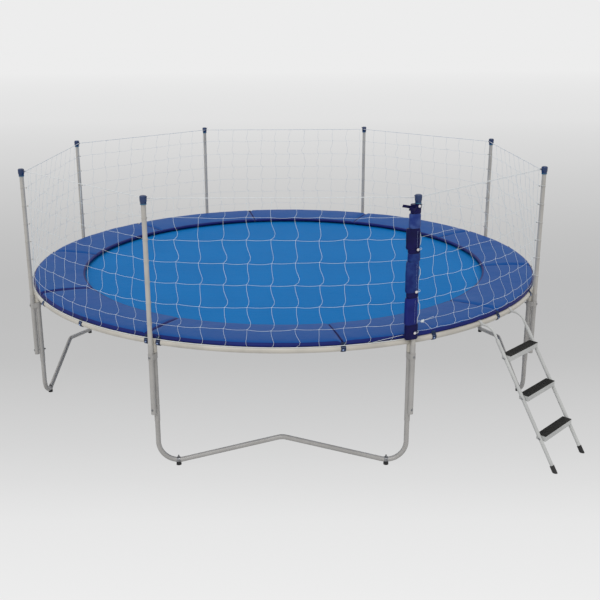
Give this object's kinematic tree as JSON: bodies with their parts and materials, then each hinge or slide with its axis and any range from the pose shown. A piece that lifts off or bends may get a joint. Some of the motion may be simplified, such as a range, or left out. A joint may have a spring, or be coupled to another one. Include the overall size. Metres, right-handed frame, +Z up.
{
  "type": "garden trampoline",
  "caption": "Round garden trampoline on W-shaped tube legs, with a spring bed, edge pad, cord safety net on straight poles, an entry flap and a hook-on ladder.",
  "frame": {"origin": "on the floor under the middle of the ring", "axes": "+Z up, -Y towards the middle of the front leg, the ladder between -Y and +X"},
  "size_m": [4.3, 4.3, 1.902],
  "materials": {
    "frame_paint": "satin light grey",
    "pole_paint": "satin pale grey",
    "ladder_paint": "satin white grey",
    "zinc": "zinc plated",
    "spring_steel": "zinc plated",
    "rubber": "matte",
    "cap_plastic": "gloss",
    "mat_fabric": "woven",
    "webbing": "woven",
    "pad_cover": "coated",
    "strap_fabric": "woven",
    "net_cord": "braided",
    "sleeve_cover": "coated",
    "toggle_plastic": "matte"
  },
  "bodies": {
    "frame": {"ring_tubes": "frame_paint", "ring_spigots": "zinc", "leg_sockets": "frame_paint", "leg_uprights": "frame_paint", "leg_base_front": "frame_paint", "leg_base_right": "frame_paint", "leg_base_back": "frame_paint", "leg_base_left": "frame_paint", "rubber_feet": "rubber", "foot_clamps": "zinc", "foot_bolts": "zinc", "pole_lower_tubes": "frame_paint", "pole_upper_tubes": "pole_paint", "pole_clamps": "frame_paint", "pole_bolts": "zinc", "pole_caps": "cap_plastic", "springs": "spring_steel", "safety_pad": "pad_cover", "pad_straps": "strap_fabric", "net_panel_1": "net_cord", "net_panel_2": "net_cord", "net_panel_3": "net_cord", "net_panel_4": "net_cord", "net_panel_5": "net_cord", "net_panel_6": "net_cord", "net_panel_7": "net_cord", "net_top_rope": "net_cord", "net_bottom_rope": "net_cord", "net_ties": "net_cord", "entry_sleeve": "sleeve_cover", "entry_toggles": "toggle_plastic"},
    "mat": {"jumping_mat": "mat_fabric", "mat_webbing": "webbing", "v_rings": "spring_steel"},
    "ladder": {"ladder_hook_left": "ladder_paint", "ladder_hook_right": "ladder_paint", "ladder_stile_left": "ladder_paint", "ladder_stile_right": "ladder_paint", "ladder_step_1": "ladder_paint", "ladder_step_2": "ladder_paint", "ladder_step_3": "ladder_paint", "step_tread_1": "rubber", "step_tread_2": "rubber", "step_tread_3": "rubber", "ladder_bolts": "zinc", "ladder_feet": "rubber"},
    "entry_net": {"entry_net": "net_cord", "entry_net_ropes": "net_cord", "entry_hinge_loops": "net_cord", "entry_edge_loops": "net_cord"}
  },
  "joints": [
    {"name": "mat_bounce", "type": "slide", "parent": "frame", "child": "mat", "axis": [0, 0, 1], "range_m": [-0.35, 0], "stiffness_N_per_m": 5000, "springref_m": 0.08, "deforming": ["springs"]},
    {"name": "ladder_swing", "type": "hinge", "parent": "frame", "child": "ladder", "pos_m": [1.51955, -1.4777, 0.911], "axis": [-0.6972, -0.7169, 0], "range_deg": [0, 30]},
    {"name": "entry_open", "type": "hinge", "parent": "frame", "child": "entry_net", "pos_m": [1.98713, -0.86816, 1.4], "axis": [0, 0, 1], "range_deg": [0, 70]}
  ]
}
